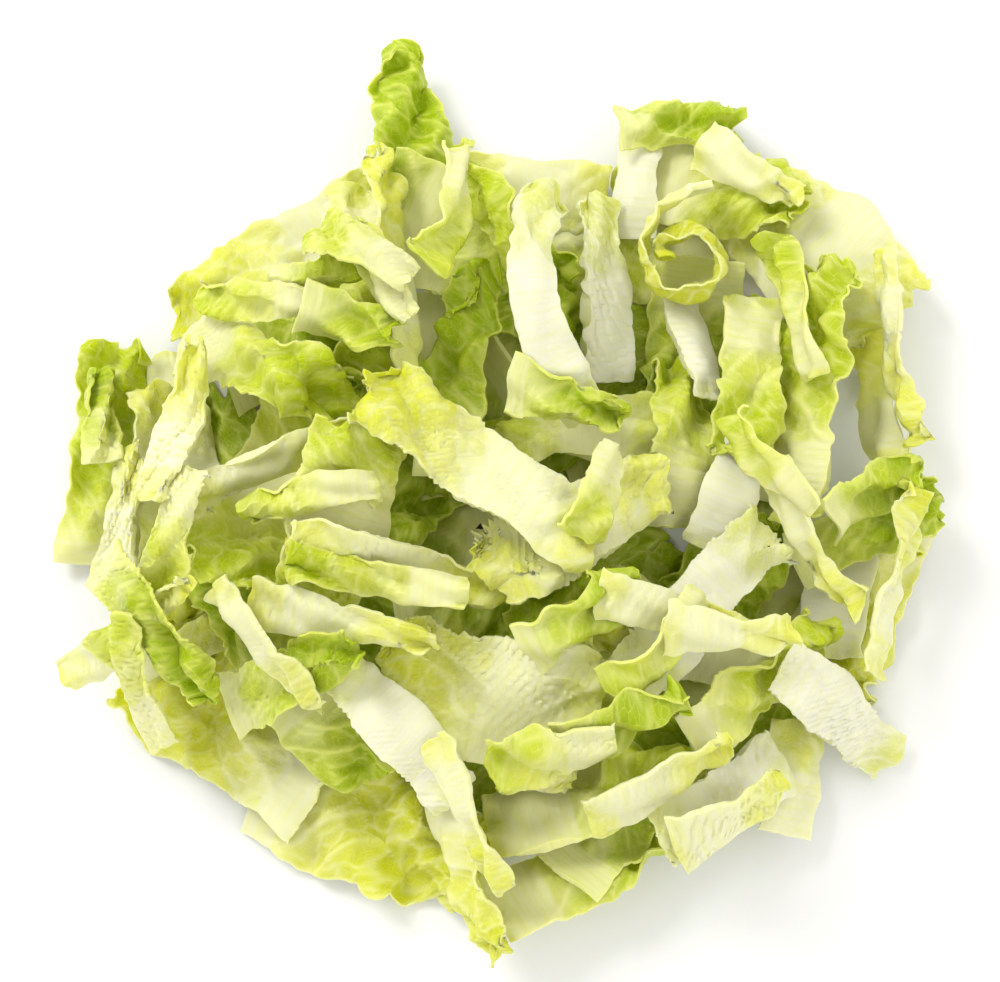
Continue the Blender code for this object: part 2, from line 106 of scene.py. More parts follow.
# %% The strips, the undermost first
STRIPS = [
    # Broad pieces pressed flat on the table
    Strip("outer_leaf", 0, -6, 0, 76, 32, (0.1, 6, 2.6), flat=True, rest=(1, 0, 0, -2.26, -10.29, 0)),
    Strip("outer_leaf", 0, 37, 3, 78, 29, (-0.2, 5, 2.4), flat=True, rest=(1, 0, 0, -2.26, 30.13, 0)),
    Strip("outer_leaf", 0, -50, -3, 78, 26, (0.2, 5, 2.4), flat=True, rest=(1, 0, 0, -2.26, -51.65, 0)),
    Strip("outer_leaf", 61, -12, 88, 56, 24, (0.0, 5, 2.4), flat=True, rest=(1, 0, 0, 55.08, -15.93, 0)),
    Strip("outer_leaf", -63, -2, 96, 60, 25, (-0.1, 5, 2.4), flat=True, rest=(1, 0, 0, -61.48, -6.53, 0)),
    # The rim, where strips lie half on the table
    Strip("heart_leaf", -46, 58, 34, 60, 26, (0.3, 4, 2.4), bend=30, ripple=1.5,
    rest=(1, -2.5, 0, -45.5, 49.87, 4.77)),
    Strip("heart_leaf", -25, -72, -22, 54, 27, (-0.9, 2, 1.8), bend=15, ripple=2.0,
    rest=(1, 1.1, -3.8, -25.76, -72.33, 5.07)),
    Strip("heart_leaf", -58, -50, -34, 50, 27, (0.8, 2, 1.8), bend=-14, ripple=2.2,
    rest=(1, 2.5, -0.1, -57.28, -51.15, 7.36)),
    Strip("inner_leaf", -84, 13, 86, 50, 17, (-1, 2, 1.6), roll=25, ripple=2.2, bend=20,
    rest=(0.55, 1.3, -13.7, -85.22, 7.57, 5.13)),
    Strip("heart_leaf", -74, -4, 99, 54, 19, (0.2, 3, 2.4), roll=40, ripple=1.7, pleat=2,
    rest=(1, -3.8, -13.7, -69.32, -4.41, 9.2)),
    Strip("heart_leaf", -67, -27, 30, 36, 8, (-1, 2, 1.8), roll=30, ripple=0.7, bend=20,
    rest=(1, 2.6, 10, -61.24, -33.53, 12.26)),
    Strip("inner_leaf", 31, -76, 27, 64, 17, (-0.8, 3, 2.2), roll=-30, ripple=1.8,
    rest=(0.7, -3.8, 5, 26.88, -76.09, 10.05)),
    Strip("heart_leaf", 63, -62, 80, 24, 13, (-0.6, 6, 3.0), ripple=0.9,
    rest=(1, 0, 13.7, 60.96, -62.93, 8.96)),
    Strip("heart_leaf", 87, -22, 70, 46, 17, (0.9, 3, 2.2), bend=24, ripple=1.3,
    rest=(1, 0, 2.5, 79.52, -25.33, 3.62)),
    Strip("heart_leaf", 90, 22, -84, 66, 11, (0.1, 3, 2.2), roll=66, sweep=22, ripple=1.5,
    rest=(1, -2.5, 7.5, 82.34, 16.03, 8.19)),
    Strip("heart_leaf", 75, 61, -44, 46, 27, (0.1, 6, 2.8), bend=44, ripple=1.7,
    rest=(1, -3.8, -7.5, 70.24, 52.19, 9.3)),
    Strip("inner_leaf", 52, 72, -16, 44, 19, (-0.5, 3, 2.0), bend=28, roll=-10, ripple=1.5,
    rest=(1, 5, -10, 46.62, 67.03, 9.02)),
    Strip("heart_leaf", 4, 76, -8, 48, 16, (0.3, 5, 2.8), roll=28, bend=20, ripple=1.4,
    rest=(1, -13.7, 5, 0.5, 67.79, 5.2)),
    Strip("white_rib", 37, 76, 86, 24, 9, (-0.2, 9, 3.4), roll=10,
    rest=(1, -6.2, -13.7, 30.52, 67.29, 8.17)),
    Strip("outer_leaf", 43, 87, 6, 28, 12, (-1, 1, 1.6), bend=-40, ripple=1.4, roll=20,
    rest=(1, -13.7, 5, 39.66, 81.13, 11.2)),
    Strip("outer_leaf", -18, 84, 97, 54, 15, (-0.9, 2, 1.8), twist=60, pitch=6, ripple=1.7,
    rest=(0.7, -2.5, 5, -19.18, 73.31, 9.9)),
    # The shaded middle layer
    Strip("outer_leaf", -2, 58, -28, 50, 24, (-0.4, 3, 2.2), roll=30, bend=40, ripple=1.6,
    rest=(1, -10, 5, -6.64, 48.87, 13.71)),
    Strip("outer_leaf", -6, 14, 42, 54, 23, (0.9, 2, 1.8), bend=-90, roll=-14, ripple=1.6,
    rest=(0.85, 8.8, 13.7, -11.9, 4.51, 9.04)),
    Strip("outer_leaf", 49, -20, 62, 50, 24, (-0.9, 2, 1.8), bend=-80, ripple=1.4,
    rest=(1, 3.8, 0, 44.3, -27.45, 9.19)),
    Strip("outer_leaf", 50, 38, 82, 44, 19, (0.8, 2, 1.8), bend=-70, roll=16, ripple=1.5,
    rest=(0.85, -11.2, -10, 41.24, 29.07, 6.32)),
    Strip("outer_leaf", 33, -62, 55, 44, 21, (-0.9, 2, 1.8), bend=-60, roll=-18, ripple=1.4,
    rest=(1, 8.8, -1.2, 24.76, -64.93, 14.51)),
    Strip("outer_leaf", -46, -39, -54, 62, 20, (0.2, 3, 2.2), bend=70, roll=24, ripple=1.6,
    rest=(0.7, 0, 0, -45, -40.81, 19.47)),
    Strip("outer_leaf", -40, 38, 16, 50, 16, (-0.7, 3, 2.2), fold=(0.2, 100), roll=-28, ripple=1.6,
    rest=(0.85, -13.7, -13.7, -43.86, 31.07, 14.31)),
    Strip("inner_leaf", -46, -2, 72, 58, 28, (0.1, 2, 2.2), bend=-85, roll=14, ripple=1.2,
    rest=(1, -13.7, -13.7, -47.5, -4.53, 24.8)),
    Strip("inner_leaf", 26, -44, 48, 46, 19, (0.7, 3, 2.4), fold=(-0.2, 80), ripple=1.5,
    rest=(0.85, -1.2, 12.5, 18.18, -42.01, 15.84)),
    Strip("inner_leaf", 12, 14, 6, 52, 16, (0.4, 4, 2.6), bend=36, roll=-34, ripple=1.6,
    rest=(1, 7.5, -10, 9.02, 10.51, 16.46)),
    Strip("white_rib", 75, -21, 84, 34, 14, (0.0, 10, 3.8), bend=14,
    rest=(1, -7.5, -10, 72.24, -20.89, 7.96)),
    Strip("outer_leaf", 82, -7, 24, 38, 13, (-1, 1, 1.6), curl=(30, 60), ripple=1.5,
    rest=(0.4, 6.3, 0, 78.82, -10.73, 16.63)),
    Strip("inner_leaf", 71, 24, 80, 60, 15, (-0.6, 4, 2.6), roll=-34, bend=30, pleat=-1.5,
    rest=(1, -5, -8.7, 64.48, 17.91, 19.87)),
    # The upper strips
    Strip("inner_leaf", -28, 46, 94, 48, 14, (0.5, 3, 2.4), bend=44, roll=16, ripple=1.8,
    rest=(1, -2.5, 7.5, -27.08, 40.59, 21.51)),
    Strip("inner_leaf", -50, 26, -24, 50, 14, (-0.8, 3, 2.2), fold=(0.3, 70), ripple=1.9,
    rest=(0.85, -7.4, -13.7, -45.26, 17.79, 32.23)),
    Strip("outer_leaf", -12, 30, 80, 48, 15, (-0.9, 2, 1.8), ripple=1.9, bend=34, roll=-34,
    rest=(0.55, -5, 3.7, -10.04, 22.55, 21.46)),
    Strip("inner_leaf", 1, 50, -66, 52, 15, (0.6, 3, 2.4), roll=60, sweep=-30, ripple=1.6,
    rest=(0.55, 5, -10, 2.68, 46.35, 27.39)),
    Strip("heart_leaf", -18, 50, 99, 62, 14, (-0.1, 5, 2.6), roll=74, sweep=-8, twist=-16,
    rest=(1, 0, -2.5, -21.18, 40.35, 28.93)),
    Strip("heart_leaf", -50, 5, 20, 52, 10, (-0.2, 5, 2.6), roll=60, bend=-60, ripple=1.3,
    rest=(1, -3.8, 5, -45.26, 0.05, 34.47)),
    Strip("inner_leaf", -37, -8, 74, 46, 18, (0.1, 2, 2.2), bend=36, roll=12, pleat=1.5,
    rest=(1, 8.7, -1.3, -33.04, -16.17, 37.99)),
    Strip("outer_leaf", 14, -37, 62, 54, 14, (-1, 2, 1.8), bend=60, curl=(60, 110), ripple=1.5,
    rest=(0.7, 10, -10, 6.9, -35.43, 17.93)),
    Strip("heart_leaf", 39, -34, -10, 54, 14, (0.3, 5, 3.0), bend=-40, roll=28, ripple=1.5,
    rest=(0.7, -13.7, 13.7, 38.4, -35.61, 22.13)),
    Strip("inner_leaf", 19, -66, 20, 44, 16, (-0.5, 5, 2.8), roll=-38, ripple=1.9,
    rest=(1, 10, -5, 17.6, -66.69, 19.34)),
    Strip("heart_leaf", -6, -74, -72, 52, 14, (-0.3, 4, 2.6), roll=62, ripple=1.4, bend=20,
    rest=(0.7, -5, -5, -9.9, -75.71, 18.32)),
    Strip("white_rib", 46, -63, 30, 34, 13, (0.1, 8, 3.6), bend=20, ripple=2.0,
    rest=(1, -0.1, 11.2, 44.98, -67.87, 23.4)),
    Strip("inner_leaf", 56, -47, 40, 44, 12, (-0.9, 2, 1.8), ripple=1.9, roll=40, bend=20,
    rest=(0.7, -11.2, 5, 54.38, -44.83, 24.94)),
    Strip("white_rib", 73, -45, -34, 40, 12, (-0.2, 12, 4.2), bend=14, ripple=2.0, roll=12,
    rest=(1, 13.7, 13.7, 70.36, -50.95, 17.43)),
    Strip("inner_leaf", 40, 17, 86, 42, 14, (-0.7, 3, 2.4), bend=56, ripple=1.3,
    rest=(1, -12.5, 11.3, 38.34, 9.33, 16.68)),
    Strip("white_rib", 45, 33, 95, 28, 8, (0.1, 9, 3.4), bend=16, roll=14,
    rest=(1, -8.8, 11.3, 42.04, 28.37, 14.53)),
    Strip("white_rib", 55, 4, 70, 34, 11, (0.0, 10, 4.0), bend=18, roll=14, ripple=1.6,
    rest=(1, 0, -2.5, 49.44, -0.89, 20.79)),
    Strip("white_rib", 22, 46, 96, 42, 11, (-0.4, 9, 3.8), bend=34, roll=-14, ripple=2.4,
    rest=(1, 13.7, 13.7, 22.42, 42.59, 12.93)),
    Strip("white_rib", 6, 36, 98, 52, 10, (-0.2, 10, 3.8), bend=26, sweep=-66, roll=14, ripple=2.2,
    rest=(1, 5, -7.5, 7.38, 33.19, 34.93)),
    Strip("heart_leaf", -19, -16, -8, 50, 11, (-0.2, 4, 2.4), roll=50, ripple=1.7,
    rest=(0.7, 1.3, 5, -18.12, -22.69, 36.21)),
    Strip("heart_leaf", 23, -12, 30, 46, 17, (0.0, 6, 3.0), bend=54, ripple=1.6,
    rest=(1, 1.2, 10, 15.36, -12.93, 29.59)),
    Strip("white_rib", 41, -21, 46, 46, 14, (0.0, 8, 4.0), bend=36, roll=-14, ripple=2.2,
    rest=(1, 11.1, 12.4, 40.28, -28.39, 27.46)),
    Strip("heart_leaf", -1, -45, -14, 46, 27, (0.3, 5, 2.8), bend=44, camber=2.2, ripple=1.5,
    rest=(1, 5, 5, -3.2, -47.95, 26.59)),
    Strip("white_rib", -23, -50, -46, 44, 12, (0.2, 9, 3.4), bend=30, roll=-24, ripple=2.2,
    rest=(1, 0, 0, -22.38, -51.65, 31.19)),
    Strip("heart_leaf", -6, -2, -34, 60, 17, (0.3, 7, 3.0), bend=50, ripple=1.8,
    rest=(0.7, -5, 10, -3.9, -2.53, 42.53)),
    Strip("heart_leaf", 38, 44, -20, 68, 10, (-1, 3, 2.0), roll=88, bend=440, spiral=0.62, ripple=0.5,
    rest=(1, 13.7, -10.1, 37.46, 40.71, 14.87)),
]
names, count = [], {}
for strip in STRIPS:
    count[strip.kind] = count.get(strip.kind, 0) + 1
    names.append(f"{strip.kind}_{count[strip.kind]:02d}")
print(len(names), "strips:", count)

# %% [markdown]
# ## The middle line of a strip
#
# A cut strip of leaf is limp. It arches over what lies under it, curls at its ends, folds, and twists. All of
# that is a middle line that turns a little at each step, so it is walked from the middle outwards,
# carrying three directions along: forwards, across and up.

# %% Walk along a strip
STATIONS = 24
FOLD_WIDTH = 0.16


def bend_rate(strip, u):
    """How fast the strip bends at u: its arch, its curled ends and its fold."""
    at, angle = strip.fold
    fold = math.exp(-(((u - at) / FOLD_WIDTH) ** 2)) / (FOLD_WIDTH * math.sqrt(math.pi))
    arch = strip.bend / 2 * (1 + strip.spiral * u)
    return arch + 3 * strip.curl[u > 0] * u * u + angle * fold


def half_centreline(strip, frame_there, side):
    point = Vector((0, 0, 0))
    found = [(point.copy(), [list(row) for row in frame_there])]
    step = side / STATIONS
    for k in range(STATIONS):
        u = side * (k + 0.5) / STATIONS
        turn = Vector((strip.twist / 2, bend_rate(strip, u), strip.sweep / 2))
        angle = math.radians(turn.length) * step
        frame_there = frame_there @ Matrix.Rotation(angle, 3, turn) if turn.length else frame_there
        point = point + frame_there.col[0] * (strip.length / 2) * step
        found.append((point.copy(), [list(row) for row in frame_there]))
    return found


def centreline(strip):
    turn = [math.radians(a) for a in (strip.heading, -strip.pitch, strip.roll)]
    start = Matrix.Rotation(turn[0], 3, "Z") @ Matrix.Rotation(turn[1], 3, "Y")
    start = start @ Matrix.Rotation(turn[2], 3, "X")
    near, far = (half_centreline(strip, start, side) for side in (-1, 1))
    points = [point for point, _ in reversed(near[1:])] + [point for point, _ in far]
    frames = [turned for _, turned in reversed(near[1:])] + [turned for _, turned in far]
    return np.array(points), np.array(frames)


# %% [markdown]
# ## Rib, blade and margin
#
# Everything about a leaf's look follows from how far a spot is from the rib. Close to it the leaf is white,
# thick and smooth. Further out it thins, turns green, blisters between its veins and begins to wave. Two
# shares say this, one for the rib and one for the margin, and both the shape and the colours read them.

# %% Shares that the shape and the colours read
RIPPLE = {"outer_leaf": 2.6, "inner_leaf": 2.2, "heart_leaf": 1.8, "white_rib": 0.7}
RIPPLE_LENGTH = 24.0
CORNER_ROUND = 3.0
BLADE_REACH, MARGIN_ONSET = 28.0, 1.2  # from the rib to the margin, and how late the margin begins to show
RIB_EDGE = 3.0  # over how many millimetres a rib runs out into the blade


def from_rib(strip, u):
    """Millimetres from the middle of the rib, less than 0 on the near side."""
    return (u - strip.rib[0]) * strip.length / 2


def margin_share(strip, u):
    away = np.abs(from_rib(strip, u)) - strip.rib[1]
    return np.clip(away / BLADE_REACH, 0, 1) ** MARGIN_ONSET


def rib_share(strip, u):
    return np.clip(1 - (from_rib(strip, u) / (strip.rib[1] + RIB_EDGE)) ** 2, 0, 1)


def surface_points(strip, u, v, draw):
    """The middle surface of the strip's solid, about the strip's own middle."""
    points, frames = centreline(strip)
    stations = np.linspace(-1, 1, len(points))
    point = np.stack([np.interp(u, stations, points[:, k]) for k in range(3)], 1)
    along, across, up = (
        np.stack([np.interp(u, stations, frames[:, k, column]) for k in range(3)], 1)
        for column in range(3)
    )
    phase, second, third = (draw.uniform(0, 2 * math.pi) for _ in range(3))
    margin = margin_share(strip, u)
    wander = 1 + 0.10 * np.sin(3.1 * u + phase) + 0.05 * np.sin(8.3 * u + third)
    half_width = strip.width / 2 * wander * (1 - 0.22 * margin * u * u) * (1 - strip.taper * u)
    ripple = RIPPLE[strip.kind] * strip.ripple * strip.rest[0] * (0.2 + 0.8 * margin)
    crests = u * strip.length / RIPPLE_LENGTH
    waves = np.sin(math.pi * (1.3 * v + crests) + second)
    waves += 0.5 * np.sin(math.pi * (1.4 * crests - 0.9 * v) + third)
    relief = ripple * waves - strip.camber * (v * v - 0.33) + strip.pleat * (np.abs(v) - 0.5)
    if strip.flat:
        relief = 0 * relief
    inward = -np.sign(u) * CORNER_ROUND * margin * u**8 * v * v
    return (
        point
        + across * (v * half_width)[:, None]
        + up * relief[:, None]
        + along * inward[:, None]
    )


# %% [markdown]
# ## The heap under a strip
#
# A soft strip follows the big bumps of what it lies on. The solids of the strips under it are there in the
# frame, so they are poured onto a height map, the map is blurred, and the strip follows it. Cloth simulation
# would do this too, but the solids have already come to rest, and the leaves must stay where they are.

# %% A height map of the strips laid so far
MAP_REACH, MAP_CELL, DRAPE_BLUR = 130.0, 1.0, 8.0
MAP_SHIFT = (-2.25655, -4.65162)  # from where the strips were dropped to the frame's origin
SPREAD = 0.94


class Heap:
    def __init__(self):
        cells = int(2 * MAP_REACH / MAP_CELL)
        self.height = np.zeros((cells, cells))

    def cell(self, x, y):
        last = len(self.height) - 1
        column = np.clip(((x + MAP_REACH) / MAP_CELL).astype(int), 0, last)
        row = np.clip(((y + MAP_REACH) / MAP_CELL).astype(int), 0, last)
        return row, column

    def add(self, solid):
        """Pours one solid of the frame onto the map."""
        corners = np.array([vertex.co for vertex in solid.data.vertices]) / MM
        corners[:, :2] -= MAP_SHIFT
        faces = np.array([face.vertices for face in solid.data.polygons])
        a, b, c = (corners[faces[:, k]] for k in range(3))
        longest = max(np.linalg.norm(a - b, axis=1).max(), np.linalg.norm(b - c, axis=1).max())
        steps = math.ceil(longest / (0.8 * MAP_CELL))
        weights = [(i / steps, j / steps) for i in range(steps + 1) for j in range(steps + 1 - i)]
        self.pour(np.concatenate([a + (b - a) * i + (c - a) * j for i, j in weights]))

    def pour(self, points):
        rows, columns = self.cell(points[:, 0], points[:, 1])
        for i in (-1, 0, 1):
            for j in (-1, 0, 1):
                np.maximum.at(self.height, (rows + i, columns + j), points[:, 2])

    def softened(self):
        reach = int(3 * DRAPE_BLUR / MAP_CELL)
        kernel = np.exp(-0.5 * (np.arange(-reach, reach + 1) * MAP_CELL / DRAPE_BLUR) ** 2)
        kernel /= kernel.sum()
        soft = self.height
        for axis in (0, 1):
            soft = np.apply_along_axis(np.convolve, axis, soft, kernel, "same")
        return soft


# %% Lay the formula where the solid lies
CELL_LONG, CELL_ACROSS = 5.2, 4.2  # the faces of the solids, in millimetres
SEED = 11


def laid(strip, u, v, name, heap, soft):
    """The strip's middle surface at u, v and at its solid's own corners, in millimetres."""
    long_cells = max(4, round(strip.length / CELL_LONG))
    cross_cells = max(2, round(strip.width / CELL_ACROSS))
    sides = np.linspace(-1, 1, long_cells + 1), np.linspace(-1, 1, cross_cells + 1)
    coarse = np.stack(np.meshgrid(*sides), -1).reshape(-1, 2)
    both = np.concatenate([np.stack([u, v], 1), coarse])
    points = surface_points(strip, both[:, 0], both[:, 1], random.Random(f"{SEED} {name}"))
    if not strip.flat:
        where = heap.cell(points[:, 0] + strip.x * SPREAD, points[:, 1] + strip.y * SPREAD)
        points[:, 2] += strip.drape * strip.rest[0] * soft[where]
        points[:, 2] -= points[len(u):, 2].mean()
    _, tip_x, tip_y, *place = strip.rest
    turn = np.array(Euler((math.radians(tip_x), math.radians(tip_y), 0)).to_matrix())
    points = points @ turn.T + place
    return points[: len(u)], points[len(u):]


# %% [markdown]
# ## Noise that is the same every time
#
# A leaf is full of small unevenness. Two kinds are needed: soft swells, and the net of small veins with a
# blister in each mesh. Both are plain sums written in numpy, with a seed for each strip, so the heap comes
# out the same on every run.

# %% Swells and nets
WAVES, WAVES_TOP = 7, 3.2  # how many waves are added up, and about how high they reach together


def swells(x, y, size, draw):
    """Soft bumps from about -1 to 1, size millimetres from crest to crest."""
    total = 0
    for _ in range(WAVES):
        heading, phase = draw.uniform(0, 2 * math.pi), draw.uniform(0, 2 * math.pi)
        pace = 2 * math.pi / (size * draw.uniform(0.75, 1.5))
        total = total + np.sin((x * math.cos(heading) + y * math.sin(heading)) * pace + phase)
    return total / WAVES_TOP


def net(x, y, size, draw):
    """How far each point is from the border between its two nearest cell middles, in millimetres.

    The large numbers only scramble the cells, so that each middle lies at its own place in its cell.
    """
    shift = draw.uniform(0, 100)
    column, row = np.floor(x / size), np.floor(y / size)
    first = np.full(x.shape, 1e9)
    second = first.copy()
    for i in (-1, 0, 1):
        for j in (-1, 0, 1):
            mixed = np.sin((column + i) * 127.1 + (row + j) * 311.7 + shift) * 43758.5
            other = np.sin((column + i) * 269.5 + (row + j) * 183.3 + shift) * 27183.1
            middle_x = (column + i + 0.5 + 0.4 * (2 * (mixed % 1) - 1)) * size
            middle_y = (row + j + 0.5 + 0.4 * (2 * (other % 1) - 1)) * size
            away = np.hypot(x - middle_x, y - middle_y)
            second = np.minimum(second, np.maximum(first, away))
            first = np.minimum(first, away)
    return (second - first) / 2


# %% [markdown]
# ## The crinkle of the blade
#
# Side veins leave the rib at a slant, about a centimetre apart, and a net of small veins joins them. The
# blade between them grows faster than the veins, so it swells up in blisters. That is what makes napa
# cabbage look crinkled, and it catches the light far more than a colour could, so it is real shape here:
# each point of the surface moves along its normal. The same numbers are kept as attributes, and the veins'
# colour falls on the veins' own grooves.

# %% The detail of one strip
SIDE_VEIN_GAP, SIDE_VEIN_SLANT = 9.0, 0.8
SQUARE_ON = 0.78  # turns a distance up the leaf into one straight across a slanted side vein
NET_SIZE, FINE_NET_SIZE = 4.6, 2.2
CUSHION, CUSHION_EDGE = 1.15, 2.6  # how high the blade stands between side veins, and how far it rises
BLISTER, BLISTER_EDGE = 0.85, 1.0
FINE_BLISTER, FINE_EDGE = 0.22, 0.5
HALF_UP = 1.1  # about half of all three, so that the blade stays about its solid's middle
VEIN_RIDGE, VEIN_RIDGE_WIDTH = 0.45, 0.7
CREASE_SPACING = 17
FULL_WIDTH = 13  # a narrower strip crinkles less
CRINKLE = {"outer_leaf": 1.0, "inner_leaf": 1.0, "heart_leaf": 1.05, "white_rib": 0.6}


def valley(away, width):
    """1 well away from a line, 0 on it, with a rounded step of the given width between."""
    return 1 - np.exp(-((away / width) ** 2))


def leaf_detail(strip, u, v, draw):
    """Relief in millimetres, how far the edges stray, and the shares that the material reads."""
    out = from_rib(strip, u)
    up_leaf = v * strip.width / 2
    blade = 1 - rib_share(strip, u)
    margin = margin_share(strip, u)
    warp = 1.6 * swells(out, up_leaf, 15, draw)
    slanted = up_leaf + draw.uniform(0, 20) - SIDE_VEIN_SLANT * np.abs(out) + warp
    to_side_vein = np.abs((slanted / SIDE_VEIN_GAP) % 1 - 0.5) * SIDE_VEIN_GAP * SQUARE_ON
    warped_x = out + swells(out, up_leaf, 9, draw)
    warped_y = up_leaf + swells(out, up_leaf, 8, draw)
    to_net = net(warped_x, warped_y, NET_SIZE, draw)
    to_fine_net = net(warped_x, warped_y, FINE_NET_SIZE, draw)

    # Blisters stand up between the veins on one face of a leaf and sink on the other
    facing = draw.choice((-1, 1))
    slim = min(1.0, strip.width / FULL_WIDTH)
    strength = slim * CRINKLE[strip.kind] * blade * (0.45 + 0.55 * margin)
    between_veins, in_meshes = valley(to_side_vein, CUSHION_EDGE), valley(to_net, BLISTER_EDGE)
    bumps = CUSHION * between_veins + BLISTER * in_meshes + FINE_BLISTER * valley(to_fine_net, FINE_EDGE)
    relief = facing * strength * (bumps - HALF_UP)
    if facing < 0:
        relief += VEIN_RIDGE * blade * np.exp(-((to_side_vein / VEIN_RIDGE_WIDTH) ** 2))
    creases = 1 - np.abs(swells(out, up_leaf, CREASE_SPACING, draw))
    relief += slim * (0.35 + blade) * (creases - 0.55)

    # A cut edge waves a little, and the leaf's own margin is frilled
    edge = np.abs(v) ** 3
    lively = np.clip(0.6 + 0.6 * swells(out, up_leaf, 34, draw), 0.15, 1.4)
    frill = slim * lively * edge * blade * (0.6 + 1.2 * margin)
    relief += frill * swells(out, 0 * out, 9, draw)
    tip = margin * np.abs(u) ** 5
    relief += slim * tip * 1.7 * swells(0.6 * out, up_leaf, 6, draw)
    each_side = 40 * np.sign(v)
    stray_across = v * edge * (0.1 + 0.3 * blade) * swells(out, each_side, 4.5, draw)
    stray_along = 1.5 * swells(0 * out, up_leaf, 5, draw)
    stray_along = tip * (stray_along + 0.6 * swells(out, up_leaf, 2.2, draw))

    # The veins are pale, and near the rib its white runs out along them in fingers
    side = np.exp(-((to_side_vein / 0.6) ** 2)) * np.clip(1.2 - margin, 0.25, 1)
    vein = blade * np.maximum(side, 0.7 * np.exp(-((to_net / 0.3) ** 2)))
    reach = 1.2 + 6 * (1 - margin) ** 2
    fingers = np.exp(-((to_side_vein / reach) ** 2)) * (1 - margin) ** 3
    white = 1.5 * rib_share(strip, u) + 0.75 * fingers
    white = np.clip(white + 0.15 * swells(out, up_leaf, 7, draw), 0, 1)
    cut = np.clip((np.abs(v) - 1) * strip.width / 2 / 0.8 + 1, 0, 1)
    # Painted shade: the blade is coloured greener along the grooves between its blisters, where shade would
    # fall
    painted_hollow_shade = strength * (1 - 0.5 * in_meshes - 0.5 * between_veins)
    shares = {"white": white, "margin": margin, "vein": vein, "cut": cut, "painted_hollow_shade": painted_hollow_shade}
    return relief, stray_across, stray_along, shares


# %% [markdown]
# ## From numbers to a leaf
#
# A grid primitive is the right start for a sheet: it has even faces and ready-made corners. Its points are
# moved to the formula's surface, Solidify gives it the leaf's thickness, thick at the rib and thin at the
# margin, and smooth shading by angle keeps the knife's cut a sharp edge.

# %% Directions on a strip, and how it lies on the leaves under it
LEAF_GAP = 0.35  # from the middle of one leaf to the top of the next
DEEPEST_PUSH = 3.5  # a point that is deeper than this in the heap stays where it is


def grid_normals(points, long_points, cross_points):
    sheet = points.reshape(cross_points, long_points, 3)
    normal = np.cross(np.gradient(sheet, axis=1), np.gradient(sheet, axis=0))
    normal /= np.maximum(np.linalg.norm(normal, axis=2, keepdims=True), 1e-9)
    return normal.reshape(-1, 3)


def unit_steps(points, long_points, cross_points, axis):
    sheet = points.reshape(cross_points, long_points, 3)
    step = np.gradient(sheet, axis=axis)
    step /= np.maximum(np.linalg.norm(step, axis=2, keepdims=True), 1e-9)
    return step.reshape(-1, 3)


def smoothed(values, long_points, cross_points):
    """Values on the strip's grid, rounded off over a few millimetres but never made less."""
    sheet = values.reshape(cross_points, long_points)
    for _ in range(6):
        wide = np.pad(sheet, 1, mode="edge")
        around = (wide[:-2, 1:-1] + wide[2:, 1:-1] + wide[1:-1, :-2] + wide[1:-1, 2:]) / 4
        sheet = np.maximum(sheet, around)
    return sheet.ravel()


def pushed_off(points, leaves):
    """How far to lift each point so that a leaf lies on the leaves under it and doesn't dip into them."""
    under = leaves.height[leaves.cell(points[:, 0] - MAP_SHIFT[0], points[:, 1] - MAP_SHIFT[1])]
    depth = np.maximum(under + LEAF_GAP - points[:, 2], 0)
    lifted = depth * np.clip((DEEPEST_PUSH - depth) / 1.5, 0, 1)
    return np.maximum(lifted, LEAF_GAP - points[:, 2])


# %% Make one strip
SPACING = 0.68  # millimetres between the points of a strip
THINNEST, THICKER_AT_RIB, BLADE_THINNING = 0.42, 0.35, 16.0
SOLID_BLADE = 1.4  # the thickness of the solid's blade beside its rib
UV_UNIT = 10  # the leaf's own coordinates are in centimetres


